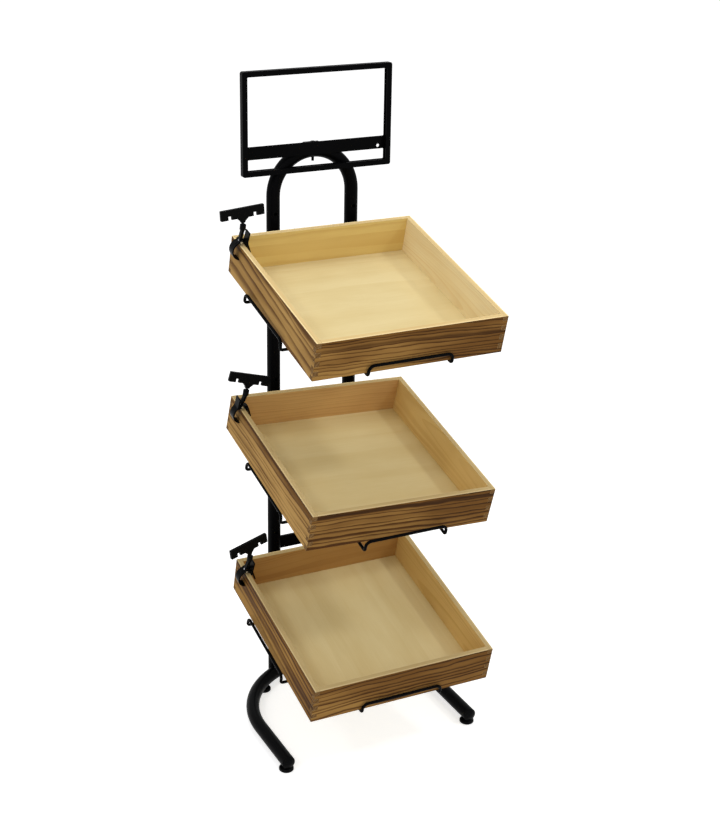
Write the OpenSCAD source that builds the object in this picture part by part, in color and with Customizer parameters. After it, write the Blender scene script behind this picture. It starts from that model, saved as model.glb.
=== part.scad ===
// Crate display stand: a bent-tube hoop on a U-shaped tube base, three sloping wire racks,
// three open wooden crates, a card frame on top and a clip-on card gripper on each crate.
// Millimetres, +Z up, front towards -Y, origin at the middle of the footprint on the floor.

/* [Tube] */
// Outside diameter of the hoop and base tube
tube_od = 25; // [24:0.5:26]
// Wall of the tube
tube_wall = 1.5; // [1.2:0.1:2]
// Distance between the centre lines of the two uprights
upright_spacing = 157; // [150:1:165]
// Height of the hoop's centre line at its crown
hoop_crown = 1066; // [1040:1:1090]
// Height of the cut lower ends of the uprights
upright_foot_z = 14; // [12:1:18]
// Place of the uprights' plane behind the middle of the footprint
stand_y = 189; // [180:1:200]
// Sideways place of the stand's middle over the middle of the whole width
stand_x = 9; // [4:1:14]

/* [Base] */
// Radius of the base bend, on the tube's centre line
base_r = 189; // [180:1:196]
// Distance of the base bend's crown behind the uprights' plane
base_back = 2.5; // [0:0.5:6]
// Reach of the base legs in front of the uprights' plane, to the tube's cut end
leg_reach = 313; // [300:1:330]
// Height of a leg cap's dome
cap_dome = 4; // [2:0.5:6]
// Length of the cap inside the tube
cap_plug = 3.5; // [2:0.5:3.5]

/* [Glides] */
// Diameter of a glide's foot
glide_d = 27; // [22:1:32]
// Height of a glide's foot
glide_h = 6.5; // [5:0.5:8]
// Gap between the glide's foot and the tube
glide_gap = 1; // [0.5:0.5:2]
// Diameter of a glide's threaded stem
stem_d = 8; // [6:1:8]
// Radial clearance of the stem in its bush
stem_fit = 0.05; // [0.02:0.01:0.1]
// Outside diameter of the bush
bush_d = 12; // [11:1:13]
// Distance of the front glides behind the legs' cut ends
front_glide_in = 10; // [10:1:20]
// Angle of the rear glides round the base bend, from the leg
rear_glide_angle = 51; // [40:1:60]

/* [Cross rail] */
// Height of the cross rail's top edge
rail_top = 309; // [300:1:315]
// Height of the flat bar
rail_h = 25; // [20:1:30]
// Thickness of the flat bar
rail_t = 5; // [3:0.5:8]

/* [Racks] */
// Number of tiers
tiers = 3; // [3:3]
// Height of the lowest rack's wires at the uprights' plane
rack_z = 237.5; // [234:0.5:242]
// Rise from tier to tier
tier_rise = 317; // [312:1:322]
// Slope of the racks, in degrees
rack_slope = 14.72; // [14.58, 14.72, 14.79, 14.89]
// Diameter of the rack wire
wire_d = 5.5; // [5:0.1:6]
// Space between a crate in the lip and the uprights' plane, along the slope
rack_space = 32.5; // [31:0.5:36]
// Height of the front lip's bar above the rack wires
lip_h = 18.7; // [18:0.1:22]
// Radius of the wire's upward bend, on its centre line
lip_r = 5; // [4.5:0.5:5.5]
// Radius of the lip's upper corners
lip_corner_r = 10; // [8:0.5:10]
// Place of the rear cross wire, from the uprights' plane along the slope
cross_rear = 124; // [116:1:132]
// Place of the front cross wire, from the uprights' plane along the slope
cross_front = 281; // [272:1:290]
// Space between a crate's side and a side bar's middle line
side_space = 7.5; // [7:0.5:10]
// Height of a side bar above the rack wires
side_bar_h = 13; // [12.5:0.5:14]
// Length of wire behind the upright's axis
tail_len = 23; // [21:0.5:26]
// Clearance of the wire in the upright's holes
wire_hole_fit = 0.05; // [0.02:0.01:0.1]
// Diameter of a spare hole in the upright's front
spare_hole_d = 6.5; // [6:0.5:7]
// Rise of a spare hole above the rack's own hole
spare_hole_rise = 90; // [80:1:100]
// Width across the flats of a rack nut
nut_flats = 10; // [9:0.5:12]
// Thickness of a rack nut
nut_h = 5; // [4:0.5:6]

/* [Crates] */
// Width of a crate
crate_w = 356; // [350:1:358]
// Length of a crate from front to back
crate_len = 364; // [350:1:366]
// Height of a crate
crate_h = 72; // [66:1:80]
// Thickness of the wall boards
wall_t = 9.5; // [8:0.5:11]
// Number of fingers in a corner's comb joint, shared by its two boards
finger_count = 8; // [6:2:10]
// Thickness of the bottom panel
floor_t = 5; // [4:0.5:6]
// Gap between crate and wires
crate_gap = 0.1; // [0.05:0.05:0.3]
// Gap between each crate's front and the lip, from the top tier down
lip_gaps = [1.8, 9, 1.8];
// Sideways place of each crate, from the top tier down
crate_shifts = [-0.5, -8, 1];
// Diameter of a corner brad
brad_d = 1.6; // [1.2:0.1:2]
// Length of a corner brad
brad_len = 30; // [25:1:35]

/* [Card frame] */
// Width of the card frame
sign_w = 293; // [285:1:300]
// Height of the card frame
sign_h = 186; // [180:1:192]
// Depth of the card frame
sign_d = 11; // [9:0.5:13]
// Face width of the frame's members
sign_face = 10; // [9:0.5:12]
// Sheet thickness of the frame
sign_sheet = 1.5; // [1:0.1:2]
// Height of the frame's lower edge
sign_z = 1032; // [1028:1:1036]
// Height of the slot under the band
sign_slot_h = 18.5; // [16:0.5:22]
// Height of the flat band
sign_band_h = 23.5; // [21:0.5:26]
// Outer corner radius of the frame
sign_corner_r = 4; // [2:0.5:5]
// Width of the card slot in the frame's top
card_slot = 3; // [2:0.5:4]
// Diameter of the hole in the band
band_hole_d = 6; // [5:0.5:7]
// Distance of that hole from the frame's outer edge
band_hole_in = 21.5; // [18:0.5:25]
// Height of that hole above the band's lower edge
band_hole_up = 6; // [5:0.5:8]
// Width of the bracket that sits on the hoop's crown
bracket_w = 30; // [24:1:40]
// Depth of the bracket
bracket_d = 24; // [22:0.5:26]
// Diameter of the frame's screw
screw_d = 5; // [4:0.5:6]
// Reach of the screw below the hoop
screw_out = 7; // [5:0.5:10]
// Diameter of the screw's head
screw_head_d = 10; // [9:0.5:11]
// Height of the screw's head
screw_head_h = 3.2; // [3:0.1:3.5]

/* [Clips] */
// Distance of each clip from its crate's rear, from the top tier down
clip_places = [33.5, 42, 40];
// Side of the wall on which each clip has its stem: -1 outside, 1 inside
stem_sides = [-1, 1, -1];
// Sideways place of each stem's ball over the wall
ball_places = [-0.5, 2.3, 3];
// Yaw of each card gripper, in degrees
grip_yaws = [2, 3.5, 13];
// Roll of each card gripper, in degrees
grip_rolls = [4, -14, 9];
// Backward nod of the card grippers, in degrees
grip_nod = 14; // [10:1:18]
// Width of a clip along the wall
clip_w = 16; // [14:0.5:18]
// Thickness of a clip's moulded claws
jaw_t = 2.6; // [2.2:0.1:3]
// Outward reach of the outer claw's curve, to its middle line
claw_out = 18; // [16:0.5:20]
// Depth of the outer claw's tip below the wall's top
claw_deep = 26; // [24:0.5:28]
// Sideways reach of the inner claw's tip
inner_out = 15; // [13:0.5:16]
// Depth of the inner claw's tip below the wall's top
inner_deep = 13.5; // [11:0.5:16]
// Gap between the moving claw and the wall
jaw_gap = 0.35; // [0.3:0.05:0.6]
// Sideways reach of the moving claw's handle
handle_out = 10.5; // [9:0.5:12]
// Height of the handle's tip above the wall's top
handle_z = 24; // [20:0.5:26]
// Diameter of the clip's hinge pin
pin_d = 3; // [2.6:0.1:3.4]
// Radial clearance of the pin in the moving jaw
pin_fit = 0.05; // [0.02:0.01:0.1]
// Height of the hinge pin above the wall's top
pin_z = 8; // [7.5:0.1:8.5]
// Distance of the hinge pin outwards from the wall's middle
pin_out = 4; // [3:0.5:5]
// Diameter of the gripper's ball
ball_d = 8; // [7:0.5:9]
// Radial clearance of the ball in its socket
ball_fit = 0.06; // [0.03:0.01:0.1]
// Height of the ball's centre above the wall's top
ball_z = 38; // [36:0.5:40]
// Width of the card gripper
grip_w = 83; // [76:1:90]
// Height of the card gripper's plate
grip_h = 18.5; // [16:0.5:21]
// Thickness of the card gripper
grip_t = 5; // [4.5:0.5:6]
// Thickness of the gap that holds a card
grip_gap = 1; // [0.8:0.1:1.4]
// Width of a notch in the gripper's lower edge
notch_w = 6.5; // [5:0.5:8]
// Height of a notch
notch_h = 7; // [5:0.5:9]

/* [Hidden] */
$fn = 64;

// Derived tube sizes and places
tube_r = tube_od / 2;
bore_r = tube_r - tube_wall;
half_span = upright_spacing / 2;
spring_z = hoop_crown - half_span;
base_z = glide_h + glide_gap + tube_r;
bend_y = base_back - base_r;
cut = 0.5;
eps = 0.01;

// Derived rack sizes: the wires leave the upright level, then follow the slope
wire_r = wire_d / 2;
rack_reach = crate_len + rack_space;
side_bar_x = crate_w / 2 + side_space;
knee_slope = round(tube_r) + 4;
rack_knee_y = knee_slope * cos(rack_slope);
rack_drop = knee_slope * sin(rack_slope);

// Tier 1 is the top one
function tier_z(tier) = rack_z + (tiers - tier) * tier_rise;
function hole_z(tier) = tier_z(tier) - rack_drop;

// The second crate rides on its left side bar and its right rack wire
lean_rise = side_bar_h;
lean_span = side_bar_x + half_span;
lean = asin((lean_rise + crate_gap) / lean_span);
crate_leans = [0, lean, 0];

// Steel, timber and plastic colours
steel = [0.06, 0.06, 0.065];
pine = [0.72, 0.53, 0.30];
ply = [0.87, 0.74, 0.52];
plastic = [0.07, 0.07, 0.075];
bright = [0.75, 0.76, 0.78];

module placed() { translate([stand_x, stand_y, 0]) children(); }

// Puts children in a rack's own frame: x across, y back up the slope, z square to it
module in_rack(tier) {
    placed() translate([0, 0, tier_z(tier)]) rotate([rack_slope, 0, 0]) children();
}

// Puts children in a crate's own frame: its origin is the middle of its bottom front edge
module in_crate(tier) {
    lift = wire_r + crate_gap;
    in_rack(tier)
        translate([half_span, -rack_reach + wire_r + lip_gaps[tier - 1], lift])
            rotate([0, crate_leans[tier - 1], 0])
                translate([crate_shifts[tier - 1] - half_span, 0, 0]) children();
}

// Puts children in a clip's own frame: its origin is on the left wall's top, in its middle
module in_clip(tier) {
    in_crate(tier)
        translate([-crate_w / 2 + wall_t / 2, crate_len - clip_places[tier - 1], crate_h])
            children();
}

// Vector helpers for bent wire
function unit(v) = v / norm(v);
function turn(a, b) = acos(max(-1, min(1, unit(a) * unit(b))));
function bent(i, n, closed) = closed || (i > 0 && i < n - 1);
function half_turn(p, i) =
    let (n = len(p)) turn(p[i] - p[(i + n - 1) % n], p[(i + 1) % n] - p[i]) / 2;
function trim(p, i, r, closed) =
    !bent(i, len(p), closed) ? 0 : r[i] > 0 ? r[i] * tan(half_turn(p, i)) : 0.5;

// Round bar of diameter d from a to b
module bar(a, b, d) {
    v = b - a;
    translate(a) rotate([0, acos(v[2] / norm(v)), atan2(v[1], v[0])])
        cylinder(d = d, h = norm(v));
}

// One bend at corner q between directions u and w, of centre-line radius r
module bend(q, u, w, r, d) {
    a = turn(u, w);
    n = unit(cross(u, w));
    out = unit(w - u);
    start = q - u * r * tan(a / 2);
    side = cross(n, u);
    centre = start + side * r;
    multmatrix([
        [-side[0], u[0], n[0], centre[0]],
        [-side[1], u[1], n[1], centre[1]],
        [-side[2], u[2], n[2], centre[2]],
        [0, 0, 0, 1]])
        rotate_extrude(angle = a) translate([r, 0]) circle(d = d);
}

// Bent wire through points p with a bend radius for each point; a zero radius is a tight knuckle
module bent_wire(p, r, d, closed = false) {
    n = len(p);
    for (i = [0 : closed ? n - 1 : n - 2]) {
        j = (i + 1) % n;
        u = unit(p[j] - p[i]);
        bar(p[i] + u * trim(p, i, r, closed), p[j] - u * trim(p, j, r, closed), d);
    }
    for (i = [0 : n - 1]) if (bent(i, n, closed)) {
        if (r[i] > 0)
            bend(p[i], unit(p[i] - p[(i + n - 1) % n]), unit(p[(i + 1) % n] - p[i]), r[i], d);
        else
            translate(p[i]) sphere(d = d + 0.5);
    }
}

// Centre-line solid of the base: half a ring and two legs
module base_run(d) {
    translate([0, bend_y, base_z]) rotate_extrude(angle = 180) translate([base_r, 0]) circle(d = d);
    for (s = [-1, 1])
        translate([s * base_r, bend_y, base_z]) rotate([90, 0, 0])
            cylinder(d = d, h = leg_reach + bend_y);
}

function glide_places() = [
    [-base_r, -leg_reach + front_glide_in],
    [base_r, -leg_reach + front_glide_in],
    [-base_r * cos(rear_glide_angle), bend_y + base_r * sin(rear_glide_angle)],
    [base_r * cos(rear_glide_angle), bend_y + base_r * sin(rear_glide_angle)]];

module base_hoop() {
    color(steel) placed() difference() {
        base_run(tube_od);
        base_run(2 * bore_r);
        for (s = [-1, 1])
            translate([s * base_r, -leg_reach + cut, base_z]) rotate([90, 0, 0])
                cylinder(r = bore_r, h = 2 * cut);
        for (p = glide_places())
            translate([p[0], p[1], base_z - tube_r - cut]) cylinder(d = bush_d, h = tube_r);
    }
}

// Domed plastic plug in each leg's end
module leg_caps() {
    color(plastic) placed() for (s = [-1, 1])
        translate([s * base_r, -leg_reach, base_z]) rotate([90, 0, 0]) rotate_extrude()
            intersection() {
                union() {
                    translate([0, -cap_plug]) square([bore_r, cap_plug]);
                    dome_r = (tube_r * tube_r + cap_dome * cap_dome) / (2 * cap_dome);
                    intersection() {
                        translate([0, cap_dome - dome_r]) circle(r = dome_r);
                        square([tube_r, cap_dome]);
                    }
                }
                translate([0, -cap_plug]) square([tube_r, cap_plug + cap_dome]);
            }
}

// Threaded bushes set in the underside of the base
bush_low = base_z - tube_r + 0.5;
bush_h = tube_r + 2;
module glide_bushes() {
    color(bright) placed() for (p = glide_places())
        translate([p[0], p[1], bush_low]) difference() {
            cylinder(d = bush_d, h = bush_h);
            translate([0, 0, -cut]) cylinder(d = stem_d + 2 * stem_fit, h = bush_h + 2 * cut);
        }
}

module glide(i) {
    p = glide_places()[i];
    edge = 1.5;
    color(plastic) placed() translate([p[0], p[1], 0]) rotate_extrude() polygon([
        [0, 0], [glide_d / 2 - edge, 0], [glide_d / 2, edge], [glide_d / 2, glide_h - edge],
        [glide_d / 2 - edge, glide_h], [stem_d / 2, glide_h],
        [stem_d / 2, base_z - 1], [stem_d / 2 - 1, base_z], [0, base_z]]);
}
module glide_front_left() { glide(0); }
module glide_front_right() { glide(1); }
module glide_rear_left() { glide(2); }
module glide_rear_right() { glide(3); }

// Hoop's centre-line solid, down to height low
module hoop_run(d, low) {
    translate([0, 0, spring_z]) rotate([90, 0, 0]) rotate_extrude(angle = 180)
        translate([half_span, 0]) circle(d = d);
    for (s = [-1, 1])
        translate([s * half_span, 0, low]) cylinder(d = d, h = spring_z - low);
}

module upright_hoop() {
    color(steel) placed() difference() {
        hoop_run(tube_od, upright_foot_z);
        hoop_run(2 * bore_r, upright_foot_z - cut);
        base_run(tube_od);
        for (tier = [1 : tiers], s = [-1, 1]) {
            translate([s * half_span, 0, hole_z(tier)]) rotate([90, 0, 0])
                cylinder(d = wire_d + 2 * wire_hole_fit, h = tube_od + 2, center = true);
            translate([s * half_span, 0, hole_z(tier) + spare_hole_rise]) rotate([90, 0, 0])
                cylinder(d = spare_hole_d, h = tube_od);
        }
        translate([0, 0, hoop_crown]) cylinder(d = screw_d, h = tube_od + 2, center = true);
    }
}

// Flat bar between the uprights, its ends shaped to the tube
module cross_rail() {
    color(steel) placed() difference() {
        translate([-half_span, -rail_t / 2, rail_top - rail_h])
            cube([upright_spacing, rail_t, rail_h]);
        for (s = [-1, 1])
            translate([s * half_span, 0, rail_top - rail_h - cut])
                cylinder(d = tube_od, h = rail_h + 2 * cut);
    }
}

// Rectangle with rounded corners
module round_rect(w, h, r) {
    translate([r, 0]) square([w - 2 * r, h]);
    translate([0, r]) square([w, h - 2 * r]);
    for (x = [r, w - r], y = [r, h - r]) translate([x, y]) circle(r = r);
}

// Card frame: one folded channel all round, open inwards, with a flat band at the back
band_z = sign_face + sign_slot_h;
inner_w = sign_w - 2 * sign_face;
inner_r = 1.5;
module sign_frame() {
    back = -tube_r - 0.05;
    color(steel) placed() translate([-sign_w / 2, back, sign_z]) rotate([90, 0, 0])
        difference() {
            linear_extrude(sign_d) round_rect(sign_w, sign_h, sign_corner_r);
            translate([sign_sheet, sign_sheet, sign_sheet])
                cube([sign_w - 2 * sign_sheet, sign_h - 2 * sign_sheet, sign_d - 2 * sign_sheet]);
            translate([sign_face, sign_face, sign_sheet + cut]) linear_extrude(sign_d)
                round_rect(inner_w, sign_h - 2 * sign_face, inner_r);
            translate([sign_face, sign_face, -cut]) linear_extrude(sign_d)
                round_rect(inner_w, sign_slot_h, inner_r);
            translate([sign_face, band_z + sign_band_h, -cut]) linear_extrude(sign_d)
                round_rect(inner_w, sign_h - sign_face - band_z - sign_band_h, inner_r);
            translate([sign_w - band_hole_in, band_z + band_hole_up, -cut])
                cylinder(d = band_hole_d, h = sign_sheet + 2 * cut);
            translate([sign_face, sign_h - sign_sheet - cut, (sign_d - card_slot) / 2])
                cube([inner_w, sign_sheet + 2 * cut, card_slot]);
        }
}

// Flange behind the band that rests on the hoop's crown
bracket_z = hoop_crown + tube_r;
module sign_bracket() {
    color(steel) placed() difference() {
        translate([-bracket_w / 2, -tube_r - 0.05, bracket_z])
            cube([bracket_w, bracket_d, sign_sheet]);
        translate([0, 0, bracket_z - cut]) cylinder(d = screw_d + 0.4, h = sign_sheet + 2 * cut);
    }
}

// Pan-head screw down through the bracket and the crown
module sign_screw() {
    low = hoop_crown - tube_r - screw_out;
    top = bracket_z + sign_sheet;
    color(steel) placed() {
        translate([0, 0, low]) cylinder(d = screw_d, h = top - low);
        translate([0, 0, top]) rotate_extrude() intersection() {
            translate([0, -screw_head_d + screw_head_h]) circle(r = screw_head_d);
            square([screw_head_d / 2, screw_head_h]);
        }
    }
}

// Points of a rack's main wire, in the rack's frame, left upright to right upright
function rail_side(s) = let (
    back = [0, sin(rack_slope), cos(rack_slope)],
    knee = [s * half_span, -knee_slope, 0],
    level = [0, cos(rack_slope), -sin(rack_slope)])
    [knee + level * (rack_knee_y + tail_len), knee,
     [s * half_span, -rack_reach, 0], [s * half_span, -rack_reach, lip_h]];
function reversed(p) = [for (i = [len(p) - 1 : -1 : 0]) p[i]];

module rack_rails(tier) {
    points = concat(rail_side(-1), reversed(rail_side(1)));
    radii = [0, 0, lip_r, lip_corner_r, lip_corner_r, lip_r, 0, 0];
    color(steel) in_rack(tier) bent_wire(points, radii, wire_d);
}
module rack_1_rails() { rack_rails(1); }
module rack_2_rails() { rack_rails(2); }
module rack_3_rails() { rack_rails(3); }

// Closed loop under the main wire that rises at each side to hold the crate
module rack_side_loops(tier) {
    low = -wire_d;
    points = [
        [-side_bar_x, -cross_rear, low], [-side_bar_x, -cross_rear, side_bar_h],
        [-side_bar_x, -cross_front, side_bar_h], [-side_bar_x, -cross_front, low],
        [side_bar_x, -cross_front, low], [side_bar_x, -cross_front, side_bar_h],
        [side_bar_x, -cross_rear, side_bar_h], [side_bar_x, -cross_rear, low]];
    radii = [for (i = [0 : 1]) each [lip_r, lip_corner_r, lip_corner_r, lip_r]];
    color(steel) in_rack(tier) bent_wire(points, radii, wire_d, true);
}
module rack_1_side_loops() { rack_side_loops(1); }
module rack_2_side_loops() { rack_side_loops(2); }
module rack_3_side_loops() { rack_side_loops(3); }

// Nuts on the wires' threaded tails, behind the uprights
module rack_nuts() {
    color(steel) placed() for (tier = [1 : tiers], s = [-1, 1])
        translate([s * half_span, tube_r + nut_h, hole_z(tier)]) rotate([90, 0, 0])
            difference() {
                cylinder(d = nut_flats / cos(30), h = nut_h, $fn = 6);
                translate([0, 0, -cut]) cylinder(d = wire_d, h = nut_h + 2 * cut);
            }
}

// Comb joints: fingers are counted from the top, and the side boards have the even ones
finger_h = crate_h / finger_count;
module comb(l, first) {
    last = finger_count - 1;
    difference() {
        square([l, crate_h]);
        for (i = [first : 2 : last], x = [-cut, l - wall_t]) {
            low = i == last ? -cut : crate_h - (i + 1) * finger_h;
            high = i == 0 ? crate_h + cut : crate_h - i * finger_h;
            translate([x, low]) square([wall_t + cut, high - low]);
        }
    }
}

// One brad through the third finger and one through the last but one, at each corner
brad_heights = [for (i = [2, finger_count - 2]) crate_h - (i + 0.5) * finger_h];
module brad_run(d) {
    for (s = [-1, 1], y = [wall_t / 2, crate_len - wall_t / 2], z = brad_heights)
        translate([s * crate_w / 2, y, z]) rotate([0, -s * 90, 0]) cylinder(d = d, h = brad_len);
}

module side_board(tier, s) {
    color(pine) in_crate(tier) difference() {
        translate([s > 0 ? crate_w / 2 - wall_t : -crate_w / 2, 0, 0]) rotate([90, 0, 90])
            linear_extrude(wall_t) comb(crate_len, 1);
        brad_run(brad_d);
    }
}
module end_board(tier, y) {
    color(pine) in_crate(tier) difference() {
        translate([-crate_w / 2, y + wall_t, 0]) rotate([90, 0, 0])
            linear_extrude(wall_t) comb(crate_w, 0);
        brad_run(brad_d);
    }
}
module bottom_panel(tier) {
    color(ply) in_crate(tier) translate([-crate_w / 2 + wall_t, wall_t, 0])
        cube([crate_w - 2 * wall_t, crate_len - 2 * wall_t, floor_t]);
}
module brads(tier) { color(bright) in_crate(tier) brad_run(brad_d); }

module crate_1_left() { side_board(1, -1); }
module crate_1_right() { side_board(1, 1); }
module crate_1_front() { end_board(1, 0); }
module crate_1_back() { end_board(1, crate_len - wall_t); }
module crate_1_bottom() { bottom_panel(1); }
module crate_1_brads() { brads(1); }
module crate_2_left() { side_board(2, -1); }
module crate_2_right() { side_board(2, 1); }
module crate_2_front() { end_board(2, 0); }
module crate_2_back() { end_board(2, crate_len - wall_t); }
module crate_2_bottom() { bottom_panel(2); }
module crate_2_brads() { brads(2); }
module crate_3_left() { side_board(3, -1); }
module crate_3_right() { side_board(3, 1); }
module crate_3_front() { end_board(3, 0); }
module crate_3_back() { end_board(3, crate_len - wall_t); }
module crate_3_bottom() { bottom_panel(3); }
module crate_3_brads() { brads(3); }

// Clip profiles: x across the wall, y up
ear_r = pin_d / 2 + 2;
tip_x = wall_t / 2;
pin_at = [-pin_out, pin_z];
claw_half = (claw_deep + pin_z) / 2;
claw_bow = claw_out - tip_x;
claw_r = (claw_half * claw_half + claw_bow * claw_bow) / (2 * claw_bow);
claw_mid = [claw_r - claw_out, pin_z - claw_half];
arm_t = 4;
ear_in = clip_w / 4;
ear_gap = 0.3;
outer_root = [claw_mid[0] - sqrt(claw_r * claw_r - pow(claw_half - 3.5, 2)), pin_z - 3.5];
inner_root = [tip_x + 3.2, 5];
spring_half = 1.8;
spring_r = pin_d / 2 + 1.4;

// Band of thickness t from a to b, with round ends a little slimmer than the band
end_step = 0.1;
module band(a, b, t) {
    v = b - a;
    for (p = [a, b]) translate(p) circle(d = t - 2 * end_step);
    translate(a) rotate(atan2(v[1], v[0])) translate([0, -t / 2]) square([norm(v), t]);
}

// Solid across the clip's width, between two places along the wall
module across(y0, y1) {
    translate([0, y1, 0]) rotate([90, 0, 0]) linear_extrude(y1 - y0) children();
}

// Outer claw: an arc from near the pin down to the wall's outer face
module outer_claw(gap) {
    difference() {
        translate(claw_mid) circle(r = claw_r + jaw_t / 2);
        translate(claw_mid) circle(r = claw_r - jaw_t / 2);
        translate([-tip_x - gap, claw_mid[1] - 2 * claw_r]) square([4 * claw_r, 4 * claw_r]);
        translate(pin_at) circle(r = ear_r + 0.5);
    }
}

// Inner claw: it flares away from the wall, with a pad against the wall's inner face
module inner_claw(gap) {
    band(inner_root, [inner_out, -inner_deep], jaw_t);
    band([inner_root[0], 3], [tip_x + gap + jaw_t / 2, -3], jaw_t);
}

module claw(side, gap) {
    if (side < 0) outer_claw(gap);
    else inner_claw(gap);
}
function claw_root(side) = side < 0 ? outer_root : inner_root;
module jaw_arm(side) {
    translate(pin_at) circle(r = ear_r);
    band(pin_at, claw_root(side), arm_t);
}
module pin_hole(d, y0, y1) {
    translate([pin_at[0], y1, pin_at[1]]) rotate([90, 0, 0]) cylinder(d = d, h = y1 - y0);
}

// The fixed jaw carries the stem and the ball's socket
stem_t = 5.2;
socket_r = ball_d / 2 + 1.6;
socket_low = ball_z - ball_d / 2 - 3;
module fixed_jaw(tier) {
    side = stem_sides[tier - 1];
    x = ball_places[tier - 1];
    pocket = spring_half + 0.4;
    color(plastic) in_clip(tier) difference() {
        union() {
            across(-clip_w / 2, clip_w / 2) claw(side, 0.1);
            across(-ear_in + ear_gap, ear_in - ear_gap) {
                jaw_arm(side);
                band(pin_at, [x, socket_low], stem_t);
            }
            translate([x, 0, socket_low - 1]) cylinder(r = socket_r, h = ball_z + 2 - socket_low);
        }
        translate([x, 0, ball_z]) sphere(r = ball_d / 2 + ball_fit);
        pin_hole(pin_d, -clip_w / 2, clip_w / 2);
        pin_hole(2 * spring_r + 1.2, -pocket, pocket);
    }
}

// The moving jaw has two ears outside the fixed jaw's arm, and a handle
module moving_jaw(tier) {
    side = -stem_sides[tier - 1];
    color(plastic) in_clip(tier) difference() {
        union() {
            across(-clip_w / 2, clip_w / 2) {
                claw(side, jaw_gap);
                band(claw_root(side), [side * handle_out, handle_z], jaw_t);
            }
            for (y = [-clip_w / 2, ear_in]) across(y, y + clip_w / 2 - ear_in) jaw_arm(side);
        }
        pin_hole(pin_d + 2 * pin_fit, -clip_w / 2 - cut, clip_w / 2 + cut);
    }
}

module hinge_pin(tier) {
    head_h = 0.8;
    head_in = clip_w / 2 + 0.1;
    color(bright) in_clip(tier) translate([pin_at[0], 0, pin_at[1]]) rotate([90, 0, 0]) {
        cylinder(d = pin_d, h = clip_w + 1, center = true);
        for (z = [-head_in - head_h, head_in])
            translate([0, 0, z]) cylinder(d = pin_d + 1.4, h = head_h);
    }
}

// Torsion spring round the pin, with a leg under the moving jaw's arm
module torsion_spring(tier) {
    wire = 1;
    side = -stem_sides[tier - 1];
    leg_y = spring_half - wire / 2;
    color(bright) in_clip(tier) {
        translate([pin_at[0], spring_half, pin_at[1]]) rotate([90, 0, 0]) difference() {
            cylinder(r = spring_r, h = 2 * spring_half);
            translate([0, 0, -cut]) cylinder(r = spring_r - wire, h = 2 * spring_half + 2 * cut);
        }
        bar([pin_at[0], leg_y, pin_at[1] - spring_r + wire / 2],
            [pin_at[0] + side * 5, leg_y, pin_at[1] - 4.8], wire);
    }
}

// Ball that turns in the socket
module ball(tier) {
    color(plastic) in_clip(tier) translate([ball_places[tier - 1], 0, ball_z]) sphere(d = ball_d);
}

// Card gripper, in the ball's own frame: neck that rides on the ball, tapered web, slotted plate
plate_z = 13.5;
module gripper_body() {
    web_low = 4.8;
    difference() {
        cylinder(d = 4.4, h = web_low + 1);
        sphere(r = ball_d / 2 + ball_fit);
    }
    difference() {
        translate([0, grip_t / 2, 0]) rotate([90, 0, 0]) linear_extrude(grip_t) {
            polygon([[-3.5, web_low], [3.5, web_low], [5, 8], [11, plate_z + eps],
                     [-11, plate_z + eps], [-5, 8]]);
            difference() {
                translate([-grip_w / 2, plate_z]) round_rect(grip_w, grip_h, 1.5);
                for (s = [-1, 1]) translate([s * grip_w * 0.29 - notch_w / 2, plate_z - cut])
                    square([notch_w, notch_h + cut]);
            }
        }
        translate([-grip_w / 2 - cut, -grip_gap / 2, plate_z + notch_h])
            cube([grip_w + 2 * cut, grip_gap, grip_h]);
    }
}
module gripper(tier) {
    i = tier - 1;
    color(plastic) in_clip(tier) translate([ball_places[i], 0, ball_z])
        rotate([-grip_nod, 0, 0]) rotate([0, 0, grip_yaws[i]]) rotate([0, -grip_rolls[i], 0])
            gripper_body();
}

module clip_1_fixed_jaw() { fixed_jaw(1); }
module clip_1_moving_jaw() { moving_jaw(1); }
module clip_1_pin() { hinge_pin(1); }
module clip_1_spring() { torsion_spring(1); }
module clip_1_ball() { ball(1); }
module clip_1_gripper() { gripper(1); }
module clip_2_fixed_jaw() { fixed_jaw(2); }
module clip_2_moving_jaw() { moving_jaw(2); }
module clip_2_pin() { hinge_pin(2); }
module clip_2_spring() { torsion_spring(2); }
module clip_2_ball() { ball(2); }
module clip_2_gripper() { gripper(2); }
module clip_3_fixed_jaw() { fixed_jaw(3); }
module clip_3_moving_jaw() { moving_jaw(3); }
module clip_3_pin() { hinge_pin(3); }
module clip_3_spring() { torsion_spring(3); }
module clip_3_ball() { ball(3); }
module clip_3_gripper() { gripper(3); }

base_hoop();
leg_caps();
glide_bushes();
glide_front_left();
glide_front_right();
glide_rear_left();
glide_rear_right();
upright_hoop();
cross_rail();
sign_frame();
sign_bracket();
sign_screw();
rack_nuts();
rack_1_rails();
rack_1_side_loops();
rack_2_rails();
rack_2_side_loops();
rack_3_rails();
rack_3_side_loops();
crate_1_left();
crate_1_right();
crate_1_front();
crate_1_back();
crate_1_bottom();
crate_1_brads();
crate_2_left();
crate_2_right();
crate_2_front();
crate_2_back();
crate_2_bottom();
crate_2_brads();
crate_3_left();
crate_3_right();
crate_3_front();
crate_3_back();
crate_3_bottom();
crate_3_brads();
clip_1_fixed_jaw();
clip_1_moving_jaw();
clip_1_pin();
clip_1_spring();
clip_1_ball();
clip_1_gripper();
clip_2_fixed_jaw();
clip_2_moving_jaw();
clip_2_pin();
clip_2_spring();
clip_2_ball();
clip_2_gripper();
clip_3_fixed_jaw();
clip_3_moving_jaw();
clip_3_pin();
clip_3_spring();
clip_3_ball();
clip_3_gripper();
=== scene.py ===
import math
from itertools import product

import bpy
from mathutils import Matrix, Vector


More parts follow.
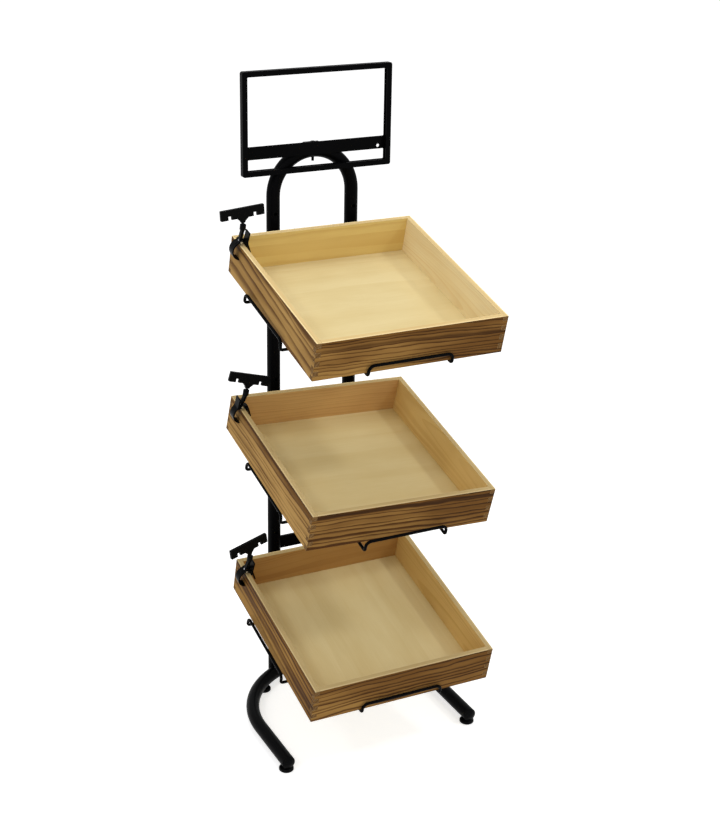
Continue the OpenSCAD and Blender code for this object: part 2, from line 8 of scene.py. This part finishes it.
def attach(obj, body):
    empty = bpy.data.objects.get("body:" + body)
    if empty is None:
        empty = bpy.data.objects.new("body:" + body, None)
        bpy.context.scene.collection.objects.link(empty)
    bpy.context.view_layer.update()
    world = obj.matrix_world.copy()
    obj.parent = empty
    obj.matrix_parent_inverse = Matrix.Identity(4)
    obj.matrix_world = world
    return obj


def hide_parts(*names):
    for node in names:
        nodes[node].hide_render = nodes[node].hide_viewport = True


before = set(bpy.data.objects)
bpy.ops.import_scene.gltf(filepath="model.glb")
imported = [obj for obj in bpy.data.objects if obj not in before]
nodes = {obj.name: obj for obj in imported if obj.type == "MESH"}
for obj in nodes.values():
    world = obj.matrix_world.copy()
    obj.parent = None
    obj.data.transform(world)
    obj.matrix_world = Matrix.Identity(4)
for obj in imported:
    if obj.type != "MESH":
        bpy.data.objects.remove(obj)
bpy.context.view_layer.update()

# Sizes and places shared with the part, in metres. Tier 1 is the top one
TIERS = (1, 2, 3)

# Middle between the uprights' axes, and half the distance between them
STAND_X = 0.009
STAND_Y = 0.189
HALF_SPAN = 0.0785

# Racks: height of the lowest, rise from one to the next, slope down to the front and wire radius
RACK_Z = 0.2375
TIER_RISE = 0.317
SLOPE = math.radians(14.72)
WIRE_R = 0.00275

# Crates: outside size, boards, corner fingers and the fingers that hold a brad, from the top
CRATE_W = 0.356
CRATE_L = 0.364
CRATE_H = 0.072
WALL = 0.0095
FLOOR = 0.005
FINGERS = 8
FINGER_H = CRATE_H / FINGERS
BRAD_FINGERS = (2, 6)

# How the racks clear the crates: under them, behind them and beside them
CRATE_GAP = 0.0001
RACK_SPACE = 0.0325
SIDE_SPACE = 0.0075
RACK_REACH = CRATE_L + RACK_SPACE
SIDE_BAR_X = CRATE_W / 2 + SIDE_SPACE
SIDE_BAR_H = 0.013

# How each crate lies: its gap to the front lip, its shift sideways and its lean.
# The second crate leans, with one wall up on the side bar
LIP_GAPS = {1: 0.0018, 2: 0.009, 3: 0.0018}
SHIFTS = {1: -0.0005, 2: -0.008, 3: 0.001}
LEAN = math.asin((SIDE_BAR_H + CRATE_GAP) / (SIDE_BAR_X + HALF_SPAN))
LEANS = {1: 0.0, 2: LEAN, 3: 0.0}

QUARTER = math.pi / 2

# Millimetres in a metre. The wood's textures are in millimetres
MM = 1000

# Where most of a noise lies
NOISE_LOW = 0.3
NOISE_HIGH = 0.7


def move(x, y, z):
    return Matrix.Translation((x, y, z))


def turn(angle, axis):
    return Matrix.Rotation(angle, 4, axis)


def rack_frame(tier):
    height = RACK_Z + (len(TIERS) - tier) * TIER_RISE
    return move(STAND_X, STAND_Y, height) @ turn(SLOPE, "X")


def crate_frame(tier):
    """A crate's own frame, from the middle of its front lower edge. It leans about the right wire."""
    front = -RACK_REACH + WIRE_R + LIP_GAPS[tier]
    on_wire = rack_frame(tier) @ move(HALF_SPAN, front, WIRE_R + CRATE_GAP)
    return on_wire @ turn(LEANS[tier], "Y") @ move(SHIFTS[tier] - HALF_SPAN, 0, 0)


# Node trees


class Tree:
    """A node tree, with short names for the nodes that the looks use.
    A value may be a number, a tuple or another node's output."""

    def __init__(self, tree):
        self.tree = tree

    def put(self, value, socket):
        if isinstance(value, bpy.types.NodeSocket):
            self.tree.links.new(value, socket)
        elif isinstance(value, tuple) and len(value) == 3 and socket.type == "RGBA":
            socket.default_value = (*value, 1)
        else:
            socket.default_value = value

    def node(self, kind, inputs=None, **settings):
        made = self.tree.nodes.new(kind)
        for key, value in settings.items():
            setattr(made, key, value)
        for key, value in (inputs or {}).items():
            self.put(value, made.inputs[key])
        return made

    def place(self, scale=1, shift=0):
        """The piece's own coordinates, scaled, and shifted along X."""
        coords = self.node("ShaderNodeTexCoord").outputs["Object"]
        inputs = {"Vector": coords, "Scale": (scale,) * 3, "Location": (shift, 0, 0)}
        return self.node("ShaderNodeMapping", inputs).outputs["Vector"]

    def noise(self, vector, scale=1, detail=2, rough=0.5):
        inputs = {"Vector": vector, "Scale": scale, "Detail": detail, "Roughness": rough}
        return self.node("ShaderNodeTexNoise", inputs).outputs["Fac"]

    def math(self, kind, a, b=0.0):
        return self.node("ShaderNodeMath", {0: a, 1: b}, operation=kind).outputs["Value"]

    def add(self, a, b):
        return self.math("ADD", a, b)

    def less(self, a, b):
        return self.math("SUBTRACT", a, b)

    def times(self, a, b):
        return self.math("MULTIPLY", a, b)

    def remap(self, value, low, high, out_low=0.0, out_high=1.0, smooth=False):
        """The stretch from low to high spread from out_low to out_high, and held there beyond."""
        inputs = {
            "Value": value,
            "From Min": low,
            "From Max": high,
            "To Min": out_low,
            "To Max": out_high,
        }
        kind = "SMOOTHSTEP" if smooth else "LINEAR"
        return self.node("ShaderNodeMapRange", inputs, interpolation_type=kind).outputs["Result"]

    def swing(self, noise, low=0.0, high=1.0):
        """A noise made to swing from low to high."""
        return self.remap(noise, NOISE_LOW, NOISE_HIGH, low, high)

    def mix(self, factor, low, high):
        made = self.node("ShaderNodeMix", data_type="RGBA")
        self.put(factor, made.inputs["Factor"])
        self.put(low, made.inputs["A"])
        self.put(high, made.inputs["B"])
        return made.outputs["Result"]

    def join(self, x, y, z):
        return self.node("ShaderNodeCombineXYZ", {"X": x, "Y": y, "Z": z}).outputs["Vector"]

    def split(self, vector):
        return self.node("ShaderNodeSeparateXYZ", {"Vector": vector}).outputs

    def seen(self):
        """1 for rays that show the studio, straight or mirrored, and 0 for rays that light the stand."""
        rays = self.node("ShaderNodeLightPath").outputs
        mirrored = self.math("MAXIMUM", rays["Is Glossy Ray"], rays["Is Transmission Ray"])
        return self.math("MAXIMUM", rays["Is Camera Ray"], mirrored)


class Material(Tree):
    def __init__(self, name):
        self.mat = bpy.data.materials.new(name)
        self.mat.use_nodes = True
        super().__init__(self.mat.node_tree)
        self.shader = self.tree.nodes["Principled BSDF"]

    def bump(self, height, strength, distance):
        inputs = {"Height": height, "Strength": strength, "Distance": distance}
        normal = self.node("ShaderNodeBump", inputs).outputs["Normal"]
        self.put(normal, self.shader.inputs["Normal"])

    def finish(self, color, rough, shine):
        self.put(color, self.shader.inputs["Base Color"])
        self.put(rough, self.shader.inputs["Roughness"])
        self.put(shine, self.shader.inputs["Specular IOR Level"])
        return self.mat


# Coats: an even colour with a fine orange-peel relief and soft, broad clouds

CLOUD_SCALE = 14
CLOUD_GAIN = 1.35
PEEL_DEPTH = 0.0002
PEEL_SMOOTHER = 0.05
PEEL_ROUGHER = 0.06


def coat(name, color, rough, shine, grain, relief, metallic=0.0):
    m = Material(name)
    place = m.place()
    peel = m.noise(place, grain, 3)
    cloud = m.noise(place, CLOUD_SCALE, 2)
    lighter = tuple(CLOUD_GAIN * c for c in color)
    tier_shade = m.mix(m.swing(cloud), color, lighter)
    m.bump(peel, relief, PEEL_DEPTH)
    m.put(metallic, m.shader.inputs["Metallic"])
    return m.finish(tier_shade, m.swing(peel, rough - PEEL_SMOOTHER, rough + PEEL_ROUGHER), shine)


# Timber colours

GOLD = (0.58, 0.335, 0.097)
STRAW = (0.66, 0.405, 0.138)
TAN = (0.25, 0.114, 0.027)
BROWN = (0.13, 0.050, 0.0125)
CHAR = (0.036, 0.0130, 0.0038)
WORN_END = (0.33, 0.23, 0.13)
END_LIGHT = (0.24, 0.130, 0.044)
END_DEEP = (0.14, 0.066, 0.020)
PLY_LIGHT = (0.79, 0.66, 0.360)
PLY_DEEP = (0.64, 0.48, 0.195)
RIM_LIGHT = (0.78, 0.59, 0.28)
RIM_DEEP = (0.64, 0.44, 0.19)
# A painted highlight for a rim's outer arris, where light catches the eased edge
RIM_HIGHLIGHT = (0.95, 0.74, 0.38)

# Timber textures, in waves per millimetre along the grain and the two ways across it

SLOW_WANDER = (0.0035, 0.012, 0.012)
QUICK_WANDER = (0.013, 0.05, 0.05)
FIBRES = (0.012, 0.85, 0.85)
FLAME_PATCHES = (0.005, 0.024, 0.024)
PALE_CLOUDS = (0.006, 0.018, 0.018)
PORES = (0.2, 1.4, 1.4)
WEAR = (0.1, 0.12, 0.12)

# Growth rings: how uneven their widths are, in rings and in waves per ring, how the strength of
# their late wood varies from ring to ring and per millimetre along it, and where the late wood ends

RING_UNEVEN = 2.2
UNEVEN_WAVES = 0.77
VIGOUR_PER_RING = 0.83
VIGOUR_PER_MM = 0.0045
LATE_END = 0.965

# A seed's place in the noise along the board and in its row of rings, and the seeds themselves.
# A wall's seed is its tier's number and its side's seed together

SEED_SHIFT = 977.0
SEED_ROW = 3.7
SIDE_SEEDS = {"left": 0.84, "right": 1.05, "front": 1.05, "back": 0.84}
PLY_SEED = 0.3
RIM_SEED = 0.9
END_SEED = 0.4

# The rim's scorch, in millimetres below the rim: where it starts and where it is full

SCORCH_START = 17
SCORCH_FULL = 4

# Burning: how far patches of the flame change the heat, how much heat adds to a ring's strength, and
# how far the burn draws back from the rings where it is cool and spreads past them where it is hot

PATCH_HEAT = 0.32
HEAT_FORCE = 0.35
COOL_SPREAD = -0.30
HOT_SPREAD = 0.28

# Roughness of the woods, and how far fibres and worn ends tint them

BARE_ROUGH = 0.72
CHARRED_ROUGH = 0.58
PALE_ROUGH = 0.62
END_ROUGH = 0.70
FIBRE_TINT = 0.30
PORE_TINT = 0.35
CLOUD_TINT = 0.35
WORN_TINT = 0.25

# The painted highlight along a rim's outer arris, in millimetres from the outer face: its core and its
# outer limit

HIGHLIGHT_CORE = 1.6
HIGHLIGHT_LIMIT = 3.0

# How far the rings show in bare wood: on a wall's inside, on a rim and on a bottom panel

WALL_RINGS = 0.7
RIM_RINGS = 0.5
PLY_RINGS = 0.25


def cut_at(heart, lean, ring, wander=(26, 5), soft=0.40):
    """How a board was cut from its log, in millimetres: how far the heart lies under the board's low Y
    face and its height in Z, its drift in both per length, the width of the rings, their slow and
    quick wander, and where in a ring, from 0 to 1, the late wood starts."""
    return {"heart": heart, "lean": lean, "ring": ring, "wander": wander, "soft": soft}


class Timber(Material):
    """Wood in millimetres, with the grain along the board's own X. Growth rings are tubes round the
    log's heart, which lies off the board and slopes past it."""

    def __init__(self, name, seed, cut):
        super().__init__(name)
        ring = cut["ring"]
        self.grain = self.place(MM, seed * SEED_SHIFT)
        self.x, self.y, self.z = self.split(self.place(MM))

        # Distance from the heart, with the rings wandering up and down along the board
        slow = self.less(self.waves(SLOW_WANDER, rough=0.45), 0.5)
        quick = self.less(self.waves(QUICK_WANDER), 0.5)
        drift = self.add(self.times(slow, cut["wander"][0]), self.times(quick, cut["wander"][1]))
        off_y = self.add(self.add(self.y, cut["heart"][0]), self.times(self.x, cut["lean"][0]))
        off_z = self.add(self.less(self.z, cut["heart"][1]), self.times(self.x, cut["lean"][1]))
        apart = self.join(0.0, off_y, self.add(off_z, drift))
        reach = self.node("ShaderNodeVectorMath", {0: apart}, operation="LENGTH").outputs["Value"]

        # Rings counted outwards, and how far through its ring each point is
        row = self.join(self.times(reach, UNEVEN_WAVES / ring), seed * SEED_ROW, 0.0)
        uneven = self.noise(row, detail=1)
        level = self.add(self.math("DIVIDE", reach, ring), self.times(uneven, RING_UNEVEN))
        self.phase = self.math("FRACT", level)
        count = self.times(self.math("FLOOR", level), VIGOUR_PER_RING)
        self.vigour = self.noise(self.join(count, self.times(self.x, VIGOUR_PER_MM), seed), detail=1)

    def waves(self, scale, detail=2, rough=0.5):
        """Noise drawn out along the grain."""
        inputs = {0: self.grain, 1: scale}
        vector = self.node("ShaderNodeVectorMath", inputs, operation="MULTIPLY").outputs["Vector"]
        return self.noise(vector, 1, detail, rough)

    def fibres(self):
        return self.waves(FIBRES, 4, 0.6)

    def late(self, start, peak):
        """The late wood of each ring, which comes up slowly from start to peak and ends sharply."""
        rise = self.remap(self.phase, start, peak, smooth=True)
        fall = self.remap(self.phase, LATE_END, 1.0, 1.0, 0.0, smooth=True)
        return self.times(rise, fall)


def torched(name, seed, cut, burn, gold):
    """Pine burnt with a torch: the late wood of each ring goes dark, more so where the flame stayed.
    burn gives the flame's strength, its rise along the board and its rise at the rim."""
    strength, rise_along, rise_rim = burn
    rim_z = MM * CRATE_H
    m = Timber(name, seed, cut)
    late = m.late(cut["soft"], peak=0.93)
    fibre = m.fibres()

    # Heat: patches, more towards one end and near the rim
    patch = m.swing(m.waves(FLAME_PATCHES), -PATCH_HEAT, PATCH_HEAT)
    along = m.remap(m.x, 0, MM * CRATE_W, -rise_along / 2, rise_along / 2)
    edge = m.remap(m.z, rim_z - SCORCH_START, rim_z - SCORCH_FULL, 0.0, rise_rim, smooth=True)
    heat = m.remap(m.add(m.add(m.add(patch, along), edge), strength), 0, 1)

    # Depth of the burn: strong rings first, then the wood between them
    spread = m.remap(heat, 0, 1, COOL_SPREAD, HOT_SPREAD)
    force = m.remap(m.add(m.vigour, m.times(heat, HEAT_FORCE)), 0.28, 0.68, 0.35, 1.0)
    depth = m.remap(m.add(m.times(late, force), spread), 0, 1)
    rim_burn = m.times(edge, m.remap(patch, -0.3, 0.3, 0.2, 1.0))

    early = m.mix(heat, gold, TAN)
    dark = m.mix(heat, BROWN, CHAR)
    color = m.mix(m.math("MAXIMUM", depth, rim_burn), early, dark)
    color = m.mix(m.remap(fibre, 0.35, 0.75, 0.0, FIBRE_TINT), color, TAN)
    m.bump(m.less(late, m.times(fibre, 0.6)), strength=0.5, distance=0.0004)
    return m.finish(color, rough=m.remap(depth, 0, 1, BARE_ROUGH, CHARRED_ROUGH), shine=0.05)


def pale(name, seed, cut, light, deep, contrast, arris=None):
    """Bare pine. contrast is how far its rings show. arris gives the place in Y of an edge with a
    painted highlight, in millimetres, and the highlight's colour."""
    m = Timber(name, seed, cut)
    late = m.times(m.late(start=0.45, peak=0.95), m.swing(m.vigour, 0.3, 1.0))
    fibre = m.fibres()
    cloud = m.waves(PALE_CLOUDS, 3)
    base = m.mix(m.remap(cloud, 0.35, 0.65, 0.0, CLOUD_TINT), light, deep)
    color = m.mix(m.times(late, contrast), base, deep)
    color = m.mix(m.remap(fibre, 0.4, 0.8, 0.0, FIBRE_TINT), color, deep)
    # Painted highlight: paler towards the outer arris, standing in for light caught by the eased edge
    if arris:
        edge_y, highlight_color = arris
        apart = m.math("ABSOLUTE", m.less(m.y, edge_y))
        near = m.remap(apart, HIGHLIGHT_CORE, HIGHLIGHT_LIMIT, 1.0, 0.0, smooth=True)
        color = m.mix(near, color, highlight_color)
    m.bump(fibre, strength=0.12, distance=0.0002)
    return m.finish(color, rough=PALE_ROUGH, shine=0.10)


def end_grain():
    """The sawn ends of the fingers, scorched and a little worn."""
    m = Timber("pine_end_grain", END_SEED, END_CUT)
    late = m.late(start=0.3, peak=0.9)
    pores = m.waves(PORES, 4, 0.7)
    worn = m.remap(m.waves(WEAR, 3), 0.42, 0.62)
    color = m.mix(late, END_LIGHT, END_DEEP)
    color = m.mix(m.times(worn, WORN_TINT), color, WORN_END)
    color = m.mix(m.remap(pores, 0.45, 0.75, 0.0, PORE_TINT), color, CHAR)
    m.bump(pores, strength=0.3, distance=0.0002)
    return m.finish(color, rough=END_ROUGH, shine=0.05)


def rim_wood(tier, outer_low):
    """The top edges: pale wood, with a painted highlight along the outer arris."""
    # Lower tiers take darker copies of the rim colours, as painted shade from the crates above them
    tier_shade = RIM_SHADE_BY_TIER[tier]
    light, deep, arris = (tuple(tier_shade * c for c in color) for color in (RIM_LIGHT, RIM_DEEP, RIM_HIGHLIGHT))
    outer_y = 0.0 if outer_low else MM * WALL
    name = f"pine_rim_{tier}_{'low' if outer_low else 'high'}"
    return pale(name, RIM_SEED, RIM_CUT, light, deep, RIM_RINGS, (outer_y, arris))


# Coats of the solids that stay. The boards and brads are replaced further down

POWDER_BLACK = (0.0015, 0.0015, 0.0018)
PLASTIC_BLACK = (0.0019, 0.0020, 0.0023)
STEEL = (0.42, 0.42, 0.43)
# Brad heads: dull steel, darkened further with painted shade standing in for the shadow of sunk brad
# holes
NAIL_AND_HOLE_SHADE = (0.05, 0.045, 0.04)

powder = coat("black_powder_coat", POWDER_BLACK, rough=0.32, shine=0.022, grain=900, relief=0.08)
plastic = coat("black_plastic", PLASTIC_BLACK, rough=0.33, shine=0.036, grain=500, relief=0.06)
bright = coat("bright_steel", STEEL, rough=0.34, shine=0.5, grain=600, relief=0.03, metallic=1.0)
nail_and_hole_shade = coat("dull_nail_and_hole_shade", NAIL_AND_HOLE_SHADE, rough=0.45, shine=0.4, grain=700, relief=0.05, metallic=0.8)

TUBE_AND_WIRE = ("base_hoop", "upright_hoop", "cross_rail", "sign_", "rack_")
BRIGHT = ("glide_bushes", "_pin", "_spring", "_brads")

for name, obj in nodes.items():
    if name.startswith(TUBE_AND_WIRE):
        mat = powder
    elif name.endswith(BRIGHT):
        mat = bright
    else:
        mat = plastic
    obj.data.materials.clear()
    obj.data.materials.append(mat)


# Boards: outlines with eased edges, each in its own frame with X along the grain

EASED = 0.0003
EASED_PLY = 0.0002
EASED_STEPS = 2


def comb_outline(length, first):
    """Points round a board's face, in X and Z. Fingers are counted from the top, and every other one,
    from first, is cut away."""
    left = []
    for i in range(FINGERS):
        inset = WALL if (i - first) % 2 == 0 else 0.0
        top = CRATE_H - i * FINGER_H
        left += [(inset, top), (inset, top - FINGER_H)]
    right = [(length - x, z) for x, z in reversed(left)]
    return left + right


def plain_outline(length, height):
    return [(0, height), (0, 0), (length, 0), (length, height)]


def new_object(name, points, faces, mats):
    mesh = bpy.data.meshes.new(name)
    mesh.from_pydata(points, [], faces)
    mesh.validate()
    for mat in mats:
        mesh.materials.append(mat)
    obj = bpy.data.objects.new(name, mesh)
    bpy.context.scene.collection.objects.link(obj)
    return obj


def board(name, outline, thick, mats, picks, eased):
    """An outline in X and Z made solid along Y. picks gives the material of the low Y face, the high
    Y face, the ends of the grain and the long edges."""
    low_face, high_face, end, edge = picks
    count = len(outline)
    points = [(x, y, z) for y in (0, thick) for x, z in outline]
    faces = [tuple(range(count)), tuple(reversed(range(count, 2 * count)))]
    slots = [low_face, high_face]
    for i in range(count):
        j = (i + 1) % count
        faces.append((i, i + count, j + count, j))
        across_grain = outline[i][0] == outline[j][0]
        slots.append(end if across_grain else edge)
    obj = new_object(name, points, faces, mats)
    for face, slot in zip(obj.data.polygons, slots):
        face.material_index = slot
        face.use_smooth = True
    bevel = obj.modifiers.new("eased_edges", "BEVEL")
    bevel.width = eased
    bevel.segments = EASED_STEPS
    bevel.harden_normals = True
    return obj


def place_board(tier, node, outline, thick, local, mats, picks, eased=EASED):
    obj = board(f"look_{node}", outline, thick, mats, picks, eased)
    obj.matrix_world = crate_frame(tier) @ local
    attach(obj, f"crate_{tier}")
    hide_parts(node)


# How each tier's walls were cut from the log, burnt and coloured. The right and back walls are
# burnt alike. Tones are a light and a deep colour, for the insides

LEFT_CUT = {
    1: cut_at((34, -40), (0.0, -0.08), 15.0, (18, 7), 0.10),
    2: cut_at((50, 150), (0.0, 0.02), 10.0, (14, 7), 0.25),
    3: cut_at((50, -30), (0.0, -0.03), 11.0, (20, 8), 0.25),
}
FRONT_CUT = {
    1: cut_at((40, 130), (0.0, 0.015), 7.0, (20, 10), 0.42),
    2: cut_at((36, -60), (0.0, 0.01), 9.0, (18, 9), 0.35),
    3: cut_at((40, 120), (0.0, -0.02), 9.0, (22, 10), 0.35),
}
RIGHT_CUT = {
    1: cut_at((30, 20), (-0.05, 0.06), 7.0),
    2: cut_at((45, 60), (0.03, 0.03), 7.5),
    3: cut_at((55, 10), (0.02, -0.03), 6.5),
}
BACK_CUT = {
    1: cut_at((110, 36), (0.0, 0.01), 6.0),
    2: cut_at((60, -20), (0.0, 0.02), 8.0),
    3: cut_at((75, 20), (0.0, -0.02), 7.0),
}
LEFT_BURN = {1: (0.36, 0.25, 0.30), 2: (0.36, 0.0, 0.65), 3: (0.62, 0.0, 0.30)}
FRONT_BURN = {1: (0.73, 0.30, 0.25), 2: (0.78, 0.26, 0.60), 3: (0.82, 0.45, 0.25)}
REST_BURN = {1: (0.45, 0.2, 0.4), 2: (0.5, 0.2, 0.6), 3: (0.5, 0.2, 0.4)}
LEFT_GOLD = {1: STRAW, 2: STRAW, 3: GOLD}
BACK_TONES = {
    1: ((0.78, 0.60, 0.225), (0.62, 0.40, 0.120)),
    2: ((0.70, 0.45, 0.18), (0.47, 0.245, 0.085)),
    3: ((0.48, 0.27, 0.085), (0.34, 0.165, 0.046)),
}
SIDE_TONES = {
    1: ((0.90, 0.78, 0.50), (0.77, 0.58, 0.28)),
    2: ((0.84, 0.62, 0.26), (0.62, 0.40, 0.135)),
    3: ((0.77, 0.54, 0.21), (0.57, 0.35, 0.100)),
}
# How far each tier's rim colours are darkened, as painted shade under the crates above
RIM_SHADE_BY_TIER = {1: 1.0, 2: 0.80, 3: 0.74}

# The other woods, and whether a bottom panel's grain runs from side to side
RIM_CUT = cut_at((60, 30), (0.0, 0.02), 4.0)
END_CUT = cut_at((30, 10), (0, 0), 5.0, (6, 3))
PLY_CUT = cut_at((150, 160), (0.0, 0.02), 22.0)
PLY_CROSSWISE = {1: True, 2: True, 3: False}

# Inside a wall the rings are drawn closer together than on its burnt outside
INSIDE_RINGS = 0.6

# Order of a wall's materials
INNER, OUTER, RIM, END = range(4)

rims = {(tier, low): rim_wood(tier, low) for tier in TIERS for low in (True, False)}
ends = end_grain()


def wall(tier, side, outline, local, cut, burn, outer_low, tones, gold=GOLD):
    """One wall, torched outside. outer_low says that the outside is the board's low Y face."""
    seed = tier + SIDE_SEEDS[side]
    inner_cut = {**cut, "ring": cut["ring"] * INSIDE_RINGS}
    outer = torched(f"torched_pine_{tier}_{side}", seed, cut, burn, gold)
    inner = pale(f"pale_pine_{tier}_{side}", seed, inner_cut, *tones, WALL_RINGS)
    mats = [inner, outer, rims[tier, outer_low], ends]
    skins = (OUTER, INNER) if outer_low else (INNER, OUTER)
    place_board(tier, f"crate_{tier}_{side}", outline, WALL, local, mats, (*skins, END, RIM))


def walls(tier):
    left = -CRATE_W / 2
    side_outline = comb_outline(CRATE_L, 1)
    end_outline = comb_outline(CRATE_W, 0)
    at_left = move(left + WALL, 0, 0) @ turn(QUARTER, "Z")
    at_right = move(-left, 0, 0) @ turn(QUARTER, "Z")
    at_front = move(left, 0, 0)
    at_back = move(left, CRATE_L - WALL, 0)
    tones = SIDE_TONES[tier]
    rest = REST_BURN[tier]
    gold = LEFT_GOLD[tier]
    wall(tier, "left", side_outline, at_left, LEFT_CUT[tier], LEFT_BURN[tier], False, tones, gold)
    wall(tier, "right", side_outline, at_right, RIGHT_CUT[tier], rest, True, tones)
    wall(tier, "front", end_outline, at_front, FRONT_CUT[tier], FRONT_BURN[tier], True, tones)
    wall(tier, "back", end_outline, at_back, BACK_CUT[tier], rest, False, BACK_TONES[tier])


def bottom_panel(tier):
    """The bottom lies flat between the walls: its outline is in the crate's X and Y."""
    left = -CRATE_W / 2 + WALL
    wide = CRATE_W - 2 * WALL
    deep = CRATE_L - 2 * WALL
    ply = pale(f"pale_ply_{tier}", PLY_SEED * tier, PLY_CUT, PLY_LIGHT, PLY_DEEP, PLY_RINGS)
    flat = turn(-QUARTER, "X")
    if PLY_CROSSWISE[tier]:
        outline = plain_outline(wide, deep)
        local = move(left, WALL, FLOOR) @ flat
    else:
        outline = plain_outline(deep, wide)
        local = move(-left, WALL, FLOOR) @ turn(QUARTER, "Z") @ flat
    node = f"crate_{tier}_bottom"
    place_board(tier, node, outline, FLOOR, local, [ply], (0, 0, 0, 0), EASED_PLY)


# Brad heads, a hair proud of the side boards. Their dark colour is dull steel together with painted
# shade of a sunk hole

BRAD_R = 0.0009
BRAD_FLAT_R = 0.8 * BRAD_R
BRAD_PROUD = 0.00005
BRAD_RIM_PROUD = 0.4 * BRAD_PROUD
BRAD_SINK = 0.001
BRAD_SIDES = 16


def brad_heads(tier):
    rings = ((BRAD_R, -BRAD_SINK), (BRAD_R, BRAD_RIM_PROUD), (BRAD_FLAT_R, BRAD_PROUD))
    sides = range(BRAD_SIDES)
    rows = (WALL / 2, CRATE_L - WALL / 2)
    points = []
    faces = []
    for s, y, finger in product((-1, 1), rows, BRAD_FINGERS):
        z = CRATE_H - (finger + 0.5) * FINGER_H
        base = len(points)
        for r, out in rings:
            for k in sides:
                a = s * 2 * math.pi * k / BRAD_SIDES
                points.append((s * (CRATE_W / 2 + out), y + r * math.cos(a), z + r * math.sin(a)))
        rim = base + BRAD_SIDES
        flat = rim + BRAD_SIDES
        for low in (base, rim):
            high = low + BRAD_SIDES
            for k in sides:
                n = (k + 1) % BRAD_SIDES
                faces.append((low + k, low + n, high + n, high + k))
        faces.append(tuple(flat + k for k in sides))
        faces.append(tuple(base + k for k in reversed(sides)))
    obj = new_object(f"look_crate_{tier}_brads", points, faces, [nail_and_hole_shade])
    obj.matrix_world = crate_frame(tier)
    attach(obj, f"crate_{tier}")
    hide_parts(f"crate_{tier}_brads")


for tier in TIERS:
    walls(tier)
    bottom_panel(tier)
for tier in TIERS:
    brad_heads(tier)


# Studio: a pale floor that shows white where no shadow falls on it, under a white sky

WHITE = (1.0, 1.0, 1.0)
FLOOR_COLOR = (0.82, 0.82, 0.82)
FLOOR_GLOW = 0.62
FLOOR_SIZE = 40
FLOOR_MIDDLE = (0, 8, 0)
SKY_LIGHT = 0.58
AIM = Vector((0, 0, 0.6))


def floor_paint():
    m = Material("studio_floor")
    m.finish(FLOOR_COLOR, 0.9, 0.0)
    glow = m.node("ShaderNodeEmission", {"Color": WHITE, "Strength": m.times(m.seen(), FLOOR_GLOW)})
    both = m.node("ShaderNodeAddShader", {0: m.shader.outputs["BSDF"], 1: glow.outputs["Emission"]})
    m.put(both.outputs["Shader"], m.tree.nodes["Material Output"].inputs["Surface"])
    return m.mat


def soft_light(name, place, size, power):
    data = bpy.data.lights.new(name, "AREA")
    data.size = size
    data.energy = power
    obj = bpy.data.objects.new(name, data)
    bpy.context.scene.collection.objects.link(obj)
    obj.location = place
    obj.rotation_euler = (AIM - Vector(place)).to_track_quat("-Z", "Y").to_euler()


bpy.ops.mesh.primitive_plane_add(size=FLOOR_SIZE, location=FLOOR_MIDDLE)
floor = bpy.context.object
floor.name = "studio_floor"
floor.data.materials.append(floor_paint())

world = bpy.data.worlds.new("studio")
bpy.context.scene.world = world
world.use_nodes = True
sky = Tree(world.node_tree)
background = world.node_tree.nodes["Background"]
sky.put(WHITE, background.inputs["Color"])
sky.put(sky.remap(sky.seen(), 0, 1, SKY_LIGHT, 1.0), background.inputs["Strength"])

soft_light("key", (1.7, -1.7, 2.75), size=0.3, power=14.5)
soft_light("left", (-2.4, -1.2, 2.8), size=0.4, power=11.5)
soft_light("top", (0.1, 0.4, 3.2), size=1.4, power=20)
soft_light("front", (-1.3, -2.9, 2.2), size=1.2, power=8)


# Camera: where the photograph was taken from, found by fitting the stand to it.
# The focal length and the optical centre are in the photograph's pixels, from its top left

PHOTO_W = 720
PHOTO_H = 826
FOCAL = 1526.82
CENTRE_X = 298.68
CENTRE_Y = 352.29
SENSOR_MM = 36
FAR_END = 60
AZIMUTH = math.radians(-24.73)
ELEVATION = math.radians(19.19)
ROLL = math.radians(-0.14)
EYE = (STAND_X - 1.16207, STAND_Y - 2.46467, 1.6271)


def photo_view():
    """The camera's place and turn: X to its right, Y up and Z back towards it."""
    flat = math.cos(ELEVATION)
    back = Vector((math.sin(AZIMUTH) * flat, -math.cos(AZIMUTH) * flat, math.sin(ELEVATION)))
    right = Vector((math.cos(AZIMUTH), math.sin(AZIMUTH), 0))
    up = back.cross(right)
    c = math.cos(ROLL)
    s = math.sin(ROLL)
    view = Matrix((c * right - s * up, s * right + c * up, back)).transposed().to_4x4()
    view.translation = EYE
    return view


lens = bpy.data.cameras.new("camera")
lens.sensor_width = SENSOR_MM
lens.lens = FOCAL * SENSOR_MM / PHOTO_H
lens.shift_x = (PHOTO_W / 2 - CENTRE_X) / PHOTO_H
lens.shift_y = (CENTRE_Y - PHOTO_H / 2) / PHOTO_H
lens.clip_end = FAR_END
camera = bpy.data.objects.new("camera", lens)
bpy.context.scene.collection.objects.link(camera)
camera.matrix_world = photo_view()
bpy.context.scene.camera = camera
bpy.context.scene.view_settings.view_transform = "Standard"
